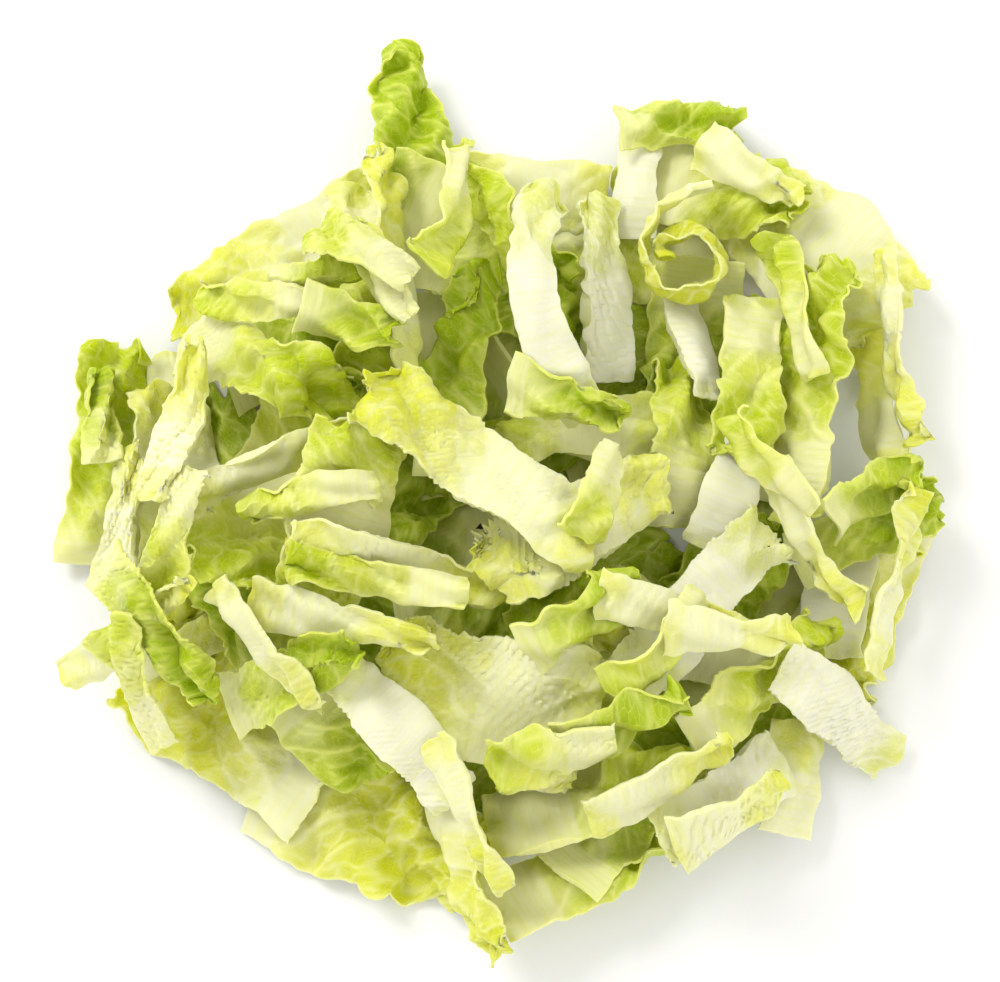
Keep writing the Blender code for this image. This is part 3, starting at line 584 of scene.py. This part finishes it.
def make_strip(strip, name, heap, soft, leaves):
    long_points = round(strip.length / SPACING) + 1
    cross_points = round(strip.width / SPACING) + 1
    bpy.ops.object.select_all(action="DESELECT")
    bpy.ops.mesh.primitive_grid_add(
        x_subdivisions=long_points - 1, y_subdivisions=cross_points - 1, size=2, calc_uvs=True
    )
    leaf = bpy.context.object
    leaf.name = leaf.data.name = f"{name}_leaf"
    mesh = leaf.data
    flat_grid = np.zeros(len(mesh.vertices) * 3)
    mesh.vertices.foreach_get("co", flat_grid)
    u, v = flat_grid.reshape(-1, 3)[:, 0], flat_grid.reshape(-1, 3)[:, 1]

    points, _ = laid(strip, u, v, name, heap, soft)
    draw = random.Random(f"detail {name}")
    relief, stray_across, stray_along, shares = leaf_detail(strip, u, v, draw)
    normal = grid_normals(points, long_points, cross_points)
    along = unit_steps(points, long_points, cross_points, 1)
    across = unit_steps(points, long_points, cross_points, 0)
    if strip.flat:
        relief = 0.5 * (relief - relief.min())
    points = points + normal * relief[:, None] + across * stray_across[:, None]
    points += along * (np.sign(u) * stray_along)[:, None]
    if not strip.flat:
        points[:, 2] += smoothed(pushed_off(points, leaves), long_points, cross_points)
        points[:, 2] = np.maximum(points[:, 2], LEAF_GAP)
    leaves.pour(points - (*MAP_SHIFT, -LEAF_GAP))
    mesh.vertices.foreach_set("co", (points * MM).ravel())

    off_rib = np.maximum(np.abs(from_rib(strip, u)) - strip.rib[1], 0)
    thickness = THINNEST + THICKER_AT_RIB * np.exp(-off_rib / BLADE_THINNING)
    thickness = thickness + (strip.rib[2] - SOLID_BLADE) * rib_share(strip, u)
    group = leaf.vertex_groups.new(name="thickness")
    for index, share in enumerate(thickness / thickness.max()):
        group.add([index], float(share), "REPLACE")
    for title, share in shares.items():
        layer = mesh.attributes.new(title, "FLOAT", "POINT")
        layer.data.foreach_set("value", share)
    leaf_uv = np.stack([from_rib(strip, u), v * strip.width / 2 + draw.uniform(-80, 80)], 1) / UV_UNIT
    corner = np.zeros(len(mesh.loops), int)
    mesh.loops.foreach_get("vertex_index", corner)
    mesh.uv_layers[0].data.foreach_set("uv", leaf_uv[corner].ravel())
    mesh.uv_layers[0].name = "leaf"

    solidify = leaf.modifiers.new("thickness", "SOLIDIFY")
    solidify.thickness = thickness.max() * MM
    solidify.offset = 1 if strip.flat else 0
    solidify.vertex_group = group.name
    solidify.use_rim = True
    bpy.ops.object.modifier_apply(modifier=solidify.name)
    bpy.ops.object.shade_smooth_by_angle(angle=math.radians(50))
    leaf.vertex_groups.clear()
    return leaf


# %% [markdown]
# ## Pieces that have no solid
#
# Torn scraps lie on the table under the strips, and narrow shreds lie among them. They have no place of their
# own in the frame, so each is dropped straight down onto the leaves that are there and rests on what it
# meets. One that would stand above the heap's top lies down and slides outwards, a little at a time.

# %% Drop a scrap or a shred
LOOSE_RIB = {"outer_leaf": (-1, 1, 1.4), "inner_leaf": (0.6, 2, 1.6), "heart_leaf": (-0.3, 3, 1.8)}
HIGHEST_SHRED, SLIDES = 50.5, 10
SINKS_IN = 8  # the share of a shred, in percent, that may lie deeper than where it rests


def dress(leaf):
    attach(leaf, "root")


def come_to_rest(strip, name, leaves, soft):
    """Where a shred, dropped straight down, meets the heap, and how high its top is then."""
    side = np.linspace(-1, 1, 25)
    u, v = (part.ravel() for part in np.meshgrid(side, side))
    strip.rest = (1, 0, 0, strip.x, strip.y, 0)
    points, _ = laid(strip, u, v, name, leaves, soft)
    under = leaves.height[leaves.cell(points[:, 0] - MAP_SHIFT[0], points[:, 1] - MAP_SHIFT[1])]
    drop = 0.5 - float(np.percentile(points[:, 2] - under, SINKS_IN))
    return (1, 0, 0, strip.x, strip.y, drop), points[:, 2].max() + drop


def drop_shred(row, name, leaves, ripple):
    kind, x, y, heading, length, width, roll, bend, taper = row
    size = {"length": length, "width": width, "roll": roll, "bend": bend, "taper": taper}
    strip = Strip(kind, x, y, heading, **size, rib=LOOSE_RIB[kind], ripple=ripple)
    soft = leaves.softened()
    for _ in range(SLIDES):
        rest, top = come_to_rest(strip, name, leaves, soft)
        if top < HIGHEST_SHRED:
            break
        strip.roll, strip.bend = 0.7 * strip.roll, 0.8 * strip.bend
        strip.x, strip.y = 1.08 * strip.x, 1.08 * strip.y
    strip.rest = rest
    leaf = make_strip(strip, name, leaves, soft, leaves)
    dress(leaf)
    return leaf


# %% [markdown]
# ## The whole heap
#
# The strips are made from the lowest up, because each lies on those before it. The middle of every strip is
# held against the box of its solid, and the largest difference is printed: if a number in the table were
# changed here, it would show.

# %% The scraps under the strips
SCRAPS = [  # kind, x, y, heading, length, width, roll, bend, taper
    ("outer_leaf", 54, 20, 80, 44, 24, 0, 0, 0.1),
    ("outer_leaf", 30, 10, 20, 34, 22, 0, 0, 0.2),
    ("outer_leaf", -32, 14, -20, 36, 24, 0, 0, 0.1),
    ("outer_leaf", 30, -30, 40, 36, 24, 0, 0, 0.1),
    ("outer_leaf", -32, -28, -40, 36, 24, 0, 0, 0.2),
    ("outer_leaf", -46, 34, 20, 34, 20, 0, 0, 0.2),
    ("inner_leaf", 24, -64, 30, 34, 22, 0, 0, 0.1),
    ("outer_leaf", -6, -66, -10, 34, 24, 0, 0, 0.1),
    ("inner_leaf", 14, 52, 80, 30, 20, 0, 0, 0.1),
    ("inner_leaf", 34, 54, 10, 30, 20, 0, 0, 0.1),
    ("outer_leaf", 0, 10, 0, 34, 22, 0, 0, 0.1),
    ("outer_leaf", -4, -30, 10, 36, 22, 0, 0, 0.1),
    ("inner_leaf", 66, -40, 60, 30, 20, 0, 0, 0.2),
    ("inner_leaf", -64, -24, 60, 30, 20, 0, 0, 0.2),
    ("inner_leaf", -74, 14, 80, 34, 16, 0, 0, 0.2),
    ("outer_leaf", 52, -50, 20, 30, 20, 0, 0, 0.2),
]

# %% Make the scraps and the strips, and hold each strip against its solid
heap, leaves = Heap(), Heap()
strips, scraps = {}, {}
worst = 0
for strip, name in zip(STRIPS, names):
    if not strip.flat and not scraps:
        for number, row in enumerate(SCRAPS, 1):
            scraps[f"scrap_{number:02d}"] = drop_shred(row, f"scrap_{number:02d}", leaves, ripple=0.6)
    soft = heap.softened()
    _, solid_middle = laid(strip, np.zeros(1), np.zeros(1), name, heap, soft)
    low, high = (np.array(corner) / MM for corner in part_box(name))
    off = np.abs((solid_middle.min(0) + solid_middle.max(0) - low - high) / 2).max()
    worst = max(worst, off)
    strips[name] = make_strip(strip, name, heap, soft, leaves)
    dress(strips[name])
    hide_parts(name)
    heap.add(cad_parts[name])
triangles = sum(len(face.vertices) - 2 for leaf in strips.values() for face in leaf.data.polygons)
print(len(strips), "strips and", len(scraps), "scraps; the strips have", triangles, "triangles")
print("their middles are within", round(float(worst), 2), "mm of the solids'")

# %% [markdown]
# ## The smallest shreds
#
# A knife also leaves narrow slivers and torn bits, which lie on and between the strips, many of them half on
# edge, with a bright rim up. They are too small to matter to how the heap sits, so they are made here alone,
# by the same formula, and a shorter row is enough for them.

# %% The shreds, and where they were dropped
SHREDS = [  # kind, x, y, heading, length, width, roll, bend, taper
    ("outer_leaf", -34, 38, 20, 26, 11, 50, 30, 0.3),
    ("inner_leaf", -25, 36, -60, 24, 9, 50, 30, 0.2),
    ("inner_leaf", -50, 32, -10, 30, 9, 45, 30, 0.3),
    ("outer_leaf", -30, 27, -20, 22, 10, 30, -40, 0.3),
    ("inner_leaf", -14, 20, -30, 24, 9, 55, 40, 0.3),
    ("outer_leaf", 14, 12, -10, 26, 10, 30, 40, 0.3),
    ("inner_leaf", -9, 52, 80, 30, 9, 55, 40, 0.2),
    ("heart_leaf", 54, 66, -30, 26, 9, 40, 20, 0.4),
    ("inner_leaf", 53, 20, 84, 40, 14, 8, 20, 0.1),
    ("inner_leaf", 62, 36, -80, 34, 8, 60, 20, 0.2),
    ("heart_leaf", 84, 28, -80, 44, 8, 66, 30, 0.1),
    ("outer_leaf", 77, -5, 30, 24, 10, 40, -60, 0.3),
    ("heart_leaf", 82, -24, 75, 40, 8, 55, 10, 0.2),
    ("heart_leaf", 62, -16, -60, 36, 8, 60, 50, 0.2),
    ("inner_leaf", 54, -2, -50, 26, 8, 55, 30, 0.3),
    ("inner_leaf", 20, -8, 70, 22, 9, 35, 30, 0.4),
    ("inner_leaf", -12, -13, -8, 36, 7, 50, 20, 0.2),
    ("heart_leaf", -18, -20, -12, 38, 7, 45, 10, 0.3),
    ("inner_leaf", -30, -8, 10, 28, 7, 55, 20, 0.2),
    ("outer_leaf", -26, -28, 20, 30, 11, 30, 30, 0.3),
    ("inner_leaf", -44, -12, 70, 28, 9, 50, 20, 0.3),
    ("heart_leaf", -60, 6, 80, 36, 9, 30, 20, 0.2),
    ("heart_leaf", -80, -8, 80, 30, 9, 25, 20, 0.3),
    ("outer_leaf", -85, 14, 100, 22, 9, 50, 30, 0.3),
    ("heart_leaf", -69, -33, 30, 34, 7, 50, 20, 0.4),
    ("outer_leaf", -50, -26, -50, 36, 9, 55, 20, 0.2),
    ("heart_leaf", -46, -40, -48, 32, 7, 55, 10, 0.3),
    ("outer_leaf", 16, -34, 40, 26, 11, 40, 70, 0.3),
    ("heart_leaf", 28, -26, -12, 34, 8, 55, 20, 0.3),
    ("inner_leaf", 32, -40, 50, 28, 9, 40, 40, 0.3),
    ("heart_leaf", 42, -34, 0, 28, 8, 50, 20, 0.3),
    ("outer_leaf", 24, -54, 20, 28, 9, 50, 30, 0.3),
    ("inner_leaf", 10, -60, 10, 26, 10, 30, 20, 0.3),
    ("heart_leaf", 32, -66, 30, 32, 9, 45, 30, 0.3),
    ("heart_leaf", -7, -72, -66, 34, 8, 55, 20, 0.2),
    ("inner_leaf", -68, -42, -70, 26, 9, 40, 20, 0.4),
    ("heart_leaf", 46, -72, 30, 26, 9, 30, 20, 0.3),
]

shreds = {}
for number, row in enumerate(SHREDS, 1):
    name = f"shred_{number:02d}"
    shreds[name] = drop_shred(row, name, leaves, ripple=1.5)
print(len(shreds), "shreds, the highest point at", round(float(leaves.height.max()), 1), "mm")

# %% [markdown]
# ## What leaf is made of
#
# Leaf blade is neither paint nor plastic: light goes in, scatters between the cells and comes out green on
# both sides. Subsurface scattering in the Principled shader does that. The colour runs from the white rib
# through pale yellow to green at the margin, the veins stay pale, and the cut edge is the palest line of
# all. The parts that all four materials share are built once, as node groups.

# %% Small helpers for node trees
def new_group(name, inputs, outputs):
    """An empty node group with named sockets. Each input is (name, type, default)."""
    group = bpy.data.node_groups.new(name, "ShaderNodeTree")
    for title, kind, value in inputs:
        socket = group.interface.new_socket(title, in_out="INPUT", socket_type=kind)
        if value is not None:
            socket.default_value = value
    for title, kind in outputs:
        group.interface.new_socket(title, in_out="OUTPUT", socket_type=kind)
    return group, group.nodes.new("NodeGroupInput"), group.nodes.new("NodeGroupOutput")


def add(tree, kind, **settings):
    """A new node. in_2=3.0 sets its third input, and any other name is one of the node's own settings."""
    node = tree.nodes.new(kind)
    for title, value in settings.items():
        if title.startswith("in_"):
            node.inputs[int(title[3:])].default_value = value
        else:
            setattr(node, title, value)
    return node


def mixed(tree, share, first, second):
    """A colour mix; share, first and second are sockets."""
    node = add(tree, "ShaderNodeMix", data_type="RGBA")
    tree.links.new(share, node.inputs[0])
    tree.links.new(first, node.inputs[6])
    tree.links.new(second, node.inputs[7])
    return node.outputs[2]


def combined(tree, operation, first, second, clamp=False):
    """A sum, product or the like of two values; each is a socket or a number."""
    node = add(tree, "ShaderNodeMath", operation=operation, use_clamp=clamp)
    for socket, value in zip(node.inputs, (first, second)):
        if isinstance(value, (int, float)):
            socket.default_value = value
        else:
            tree.links.new(value, socket)
    return node.outputs[0]


# %% [markdown]
# ## The fine net and the mottling
#
# Below a millimetre the veins are too fine for the mesh, so the smallest net is a Voronoi texture read as the
# distance to its cells' borders. It lies in the leaf's own coordinates, centimetres out from the rib and
# up the leaf, which the strips carry as a UV map, so it runs with the leaf whichever way a strip curls.

# %% The group for fine veins
fine_veins, inside, outside = new_group(
    "fine_veins",
    [
        ("Leaf", "NodeSocketVector", None),
        ("Cells per cm", "NodeSocketFloat", 8.0),
        ("Width", "NodeSocketFloat", 0.08),
    ],
    [("Veins", "NodeSocketFloat"), ("Swelling", "NodeSocketFloat")],
)
bend_noise = add(fine_veins, "ShaderNodeTexNoise", in_2=3.0, in_3=2.0)
fine_veins.links.new(inside.outputs["Leaf"], bend_noise.inputs["Vector"])
bent = add(fine_veins, "ShaderNodeVectorMath", operation="MULTIPLY_ADD")
bent.inputs[1].default_value = (0.16, 0.16, 0)
fine_veins.links.new(bend_noise.outputs["Color"], bent.inputs[0])
fine_veins.links.new(inside.outputs["Leaf"], bent.inputs[2])
cells = add(fine_veins, "ShaderNodeTexVoronoi", feature="DISTANCE_TO_EDGE", voronoi_dimensions="2D")
fine_veins.links.new(bent.outputs[0], cells.inputs["Vector"])
fine_veins.links.new(inside.outputs["Cells per cm"], cells.inputs["Scale"])
ramp = add(fine_veins, "ShaderNodeMapRange", interpolation_type="SMOOTHSTEP")
fine_veins.links.new(cells.outputs["Distance"], ramp.inputs["Value"])
fine_veins.links.new(inside.outputs["Width"], ramp.inputs["From Max"])
ramp.inputs["To Min"].default_value = 1
ramp.inputs["To Max"].default_value = 0
fine_veins.links.new(ramp.outputs["Result"], outside.inputs["Veins"])
fine_veins.links.new(cells.outputs["Distance"], outside.inputs["Swelling"])

# %% The group for leaf colour
leaf_colour, inside, outside = new_group(
    "leaf_colour",
    [
        ("Leaf", "NodeSocketVector", None),
        ("Rib", "NodeSocketColor", (0.85, 0.85, 0.75, 1)),
        ("Pale", "NodeSocketColor", (0.75, 0.78, 0.4, 1)),
        ("Green", "NodeSocketColor", (0.4, 0.55, 0.05, 1)),
        ("Vein", "NodeSocketColor", (0.8, 0.82, 0.5, 1)),
        ("Greenness", "NodeSocketFloat", 0.5),
        ("Fine veins", "NodeSocketFloat", 0.0),
    ],
    [("Colour", "NodeSocketColor"), ("Rib share", "NodeSocketFloat"), ("Mottle", "NodeSocketFloat")],
)
share = {
    title: add(leaf_colour, "ShaderNodeAttribute", attribute_name=title).outputs["Fac"]
    for title in ("white", "margin", "vein", "cut", "painted_hollow_shade")
}
patches = add(leaf_colour, "ShaderNodeTexNoise", in_2=1.1, in_3=4.0)
leaf_colour.links.new(inside.outputs["Leaf"], patches.inputs["Vector"])
patch = combined(leaf_colour, "SUBTRACT", patches.outputs["Fac"], 0.5)
patch = combined(leaf_colour, "MULTIPLY", patch, 1.6)
# Painted shade: greener colour in the grooves between the blisters
painted_hollow_shade = combined(leaf_colour, "MULTIPLY", share["painted_hollow_shade"], 0.55)
green = combined(leaf_colour, "MULTIPLY", share["margin"], 0.75)
green = combined(leaf_colour, "ADD", green, inside.outputs["Greenness"])
green = combined(leaf_colour, "ADD", green, patch, clamp=True)
green = combined(leaf_colour, "ADD", green, painted_hollow_shade, clamp=True)
colour = mixed(leaf_colour, green, inside.outputs["Pale"], inside.outputs["Green"])
finest = combined(leaf_colour, "MULTIPLY", inside.outputs["Fine veins"], 0.4)
veins = combined(leaf_colour, "MAXIMUM", share["vein"], finest)
veins = combined(leaf_colour, "MULTIPLY", veins, 0.85)
colour = mixed(leaf_colour, veins, colour, inside.outputs["Vein"])
rib = add(leaf_colour, "ShaderNodeMapRange", interpolation_type="SMOOTHSTEP")
leaf_colour.links.new(share["white"], rib.inputs["Value"])
streaked = add(leaf_colour, "ShaderNodeMapping")
streaked.inputs["Scale"].default_value = (9, 0.7, 1)
leaf_colour.links.new(inside.outputs["Leaf"], streaked.inputs["Vector"])
streaks = add(leaf_colour, "ShaderNodeTexNoise", in_2=1.0, in_3=3.0)
leaf_colour.links.new(streaked.outputs[0], streaks.inputs["Vector"])
streak = add(leaf_colour, "ShaderNodeMapRange", in_1=0.45, in_2=0.75, in_4=0.45)
leaf_colour.links.new(streaks.outputs["Fac"], streak.inputs["Value"])
rib_colour = mixed(leaf_colour, streak.outputs["Result"], inside.outputs["Rib"], inside.outputs["Pale"])
colour = mixed(leaf_colour, rib.outputs["Result"], colour, rib_colour)
cut_edge = combined(leaf_colour, "MULTIPLY", share["cut"], 0.55)
colour = mixed(leaf_colour, cut_edge, colour, inside.outputs["Vein"])
leaf_colour.links.new(colour, outside.inputs["Colour"])
leaf_colour.links.new(rib.outputs["Result"], outside.inputs["Rib share"])
leaf_colour.links.new(patches.outputs["Fac"], outside.inputs["Mottle"])

# %% [markdown]
# ## Rib fibres and fine wrinkles
#
# The rib is smooth but not plain: fine strands run up the leaf through it, which is across the strip. A wave
# stretched that way, broken up by noise, gives them. The blade gets small wrinkles and the swelling of its
# finest cells. Both are bumps, too small to be worth points in the mesh.

# %% The group for surface relief
leaf_relief, inside, outside = new_group(
    "leaf_relief",
    [
        ("Leaf", "NodeSocketVector", None),
        ("Rib share", "NodeSocketFloat", 0.0),
        ("Swelling", "NodeSocketFloat", 0.0),
    ],
    [("Height", "NodeSocketFloat")],
)
stretched = add(leaf_relief, "ShaderNodeMapping")
stretched.inputs["Scale"].default_value = (14, 0.9, 1)
leaf_relief.links.new(inside.outputs["Leaf"], stretched.inputs["Vector"])
strands = add(leaf_relief, "ShaderNodeTexNoise", in_2=1.0, in_3=3.0)
leaf_relief.links.new(stretched.outputs[0], strands.inputs["Vector"])
wrinkles = add(leaf_relief, "ShaderNodeTexNoise", in_2=9.0, in_3=4.0)
leaf_relief.links.new(inside.outputs["Leaf"], wrinkles.inputs["Vector"])
swelling = combined(leaf_relief, "MULTIPLY", inside.outputs["Swelling"], 1.4)
blade_height = combined(leaf_relief, "ADD", wrinkles.outputs["Fac"], swelling)
rib_height = combined(leaf_relief, "MULTIPLY", strands.outputs["Fac"], 1.1)
height = add(leaf_relief, "ShaderNodeMix", data_type="FLOAT")
leaf_relief.links.new(inside.outputs["Rib share"], height.inputs[0])
leaf_relief.links.new(blade_height, height.inputs[2])
leaf_relief.links.new(rib_height, height.inputs[3])
leaf_relief.links.new(height.outputs[0], outside.inputs["Height"])

# %% [markdown]
# ## Four finishes
#
# The outermost leaves are the greenest. Towards the heart of the head the light never reached, so the blades
# are pale yellow, and a strip cut low across the leaf is nearly all white rib. Each material places the
# shared groups and sets its own colours.

# %% The four materials
FINISHES = {  # rib, pale blade, green blade, vein, greenness, roughness, how far light scatters
    "outer_leaf": (
        (0.74, 0.74, 0.36), (0.58, 0.63, 0.055), (0.35, 0.46, 0.003), (0.74, 0.76, 0.20),
        0.30, 0.42, 1.4,
    ),
    "inner_leaf": (
        (0.76, 0.75, 0.42), (0.68, 0.70, 0.105), (0.46, 0.55, 0.006), (0.78, 0.78, 0.28),
        0.22, 0.42, 1.5,
    ),
    "heart_leaf": (
        (0.79, 0.78, 0.50), (0.77, 0.77, 0.22), (0.63, 0.66, 0.03), (0.83, 0.82, 0.42),
        0.06, 0.40, 1.7,
    ),
    "white_rib": (
        (0.80, 0.79, 0.62), (0.75, 0.75, 0.34), (0.60, 0.65, 0.05), (0.81, 0.80, 0.50),
        0.05, 0.36, 2.0,
    ),
}


def leaf_material(kind):
    rib, pale, green, vein, greenness, roughness, scatter = FINISHES[kind]
    material = bpy.data.materials.new(kind)
    material.use_nodes = True
    tree = material.node_tree
    shader = tree.nodes["Principled BSDF"]
    leaf = add(tree, "ShaderNodeUVMap", uv_map="leaf")
    small = add(tree, "ShaderNodeGroup", node_tree=fine_veins)
    tree.links.new(leaf.outputs[0], small.inputs["Leaf"])
    colours = add(tree, "ShaderNodeGroup", node_tree=leaf_colour)
    tree.links.new(leaf.outputs[0], colours.inputs["Leaf"])
    tree.links.new(small.outputs["Veins"], colours.inputs["Fine veins"])
    for title, value in zip(("Rib", "Pale", "Green", "Vein"), (rib, pale, green, vein)):
        colours.inputs[title].default_value = (*value, 1)
    colours.inputs["Greenness"].default_value = greenness
    tree.links.new(colours.outputs["Colour"], shader.inputs["Base Color"])
    rough = combined(tree, "MULTIPLY", colours.outputs["Mottle"], 0.25)
    rough = combined(tree, "ADD", rough, roughness - 0.12)
    tree.links.new(rough, shader.inputs["Roughness"])
    relief = add(tree, "ShaderNodeGroup", node_tree=leaf_relief)
    tree.links.new(leaf.outputs[0], relief.inputs["Leaf"])
    tree.links.new(colours.outputs["Rib share"], relief.inputs["Rib share"])
    tree.links.new(small.outputs["Swelling"], relief.inputs["Swelling"])
    bump = add(tree, "ShaderNodeBump")
    bump.inputs["Strength"].default_value = 0.5
    bump.inputs["Distance"].default_value = 0.25 * MM
    tree.links.new(relief.outputs["Height"], bump.inputs["Height"])
    tree.links.new(bump.outputs[0], shader.inputs["Normal"])
    shader.inputs["Subsurface Weight"].default_value = 0.8
    shader.inputs["Subsurface Radius"].default_value = (1.0, 1.0, 0.4)
    shader.inputs["Subsurface Scale"].default_value = scatter * MM
    shader.inputs["IOR"].default_value = 1.4
    shader.inputs["Specular IOR Level"].default_value = 0.3
    return material


materials = {kind: leaf_material(kind) for kind in FINISHES}
kinds = dict(zip(names, (strip.kind for strip in STRIPS)))
kinds.update(zip(scraps, (kind for kind, *_ in SCRAPS)))
kinds.update(zip(shreds, (kind for kind, *_ in SHREDS)))
for name, leaf in {**strips, **scraps, **shreds}.items():
    leaf.data.materials.clear()
    leaf.data.materials.append(materials[kinds[name]])
print("materials:", sorted(materials))

# %% [markdown]
# ## The table and the light
#
# The photograph is bright and almost shadowless: a white table, a broad soft light from the upper left, and
# light bounced in from everywhere. One large area light, a weaker one across from it and a pale world do
# this.

# %% Floor, lights and world
bpy.ops.object.select_all(action="DESELECT")
bpy.ops.mesh.primitive_plane_add(size=6, location=(0, 0, -0.0003))
floor = bpy.context.object
floor.name = "floor"
table_top = bpy.data.materials.new("table_top")
table_top.use_nodes = True
table_shader = table_top.node_tree.nodes["Principled BSDF"]
table_shader.inputs["Base Color"].default_value = (0.90, 0.90, 0.89, 1)
table_shader.inputs["Roughness"].default_value = 0.7
floor.data.materials.append(table_top)


def area_light(name, place, size, power):
    """A square light of the given size, turned towards the heap."""
    bpy.ops.object.light_add(type="AREA", location=place)
    light = bpy.context.object
    light.name = name
    light.data.size = size
    light.data.energy = power
    light.rotation_euler = (-Vector(place)).to_track_quat("-Z", "Y").to_euler()


area_light("window", (-0.5, 0.45, 0.75), 0.36, 4.6)
area_light("fill", (0.7, -0.4, 0.6), 0.9, 1.4)
world = bpy.data.worlds.new("studio")
bpy.context.scene.world = world
world.use_nodes = True
world.node_tree.nodes["Background"].inputs["Color"].default_value = (1, 1, 0.98, 1)
world.node_tree.nodes["Background"].inputs["Strength"].default_value = 0.98
bpy.context.scene.view_settings.view_transform = "Standard"

# %% [markdown]
# ## The camera
#
# The heap is seen from high up, about 79 degrees above the table, from the side that the frame calls -Y. It
# fills the picture with a small border all round.

# %% Camera
AIM = Vector((0, -0.0035, 0.018))
ELEVATION, DISTANCE, LENS = math.radians(79), 0.41, 70
back = Vector((0, -math.cos(ELEVATION), math.sin(ELEVATION)))
facing_heap = (-back).to_track_quat("-Z", "Y").to_euler()
bpy.ops.object.camera_add(location=AIM + back * DISTANCE, rotation=facing_heap)
camera = bpy.context.object
camera.name = "camera"
camera.data.lens = LENS
bpy.context.scene.camera = camera
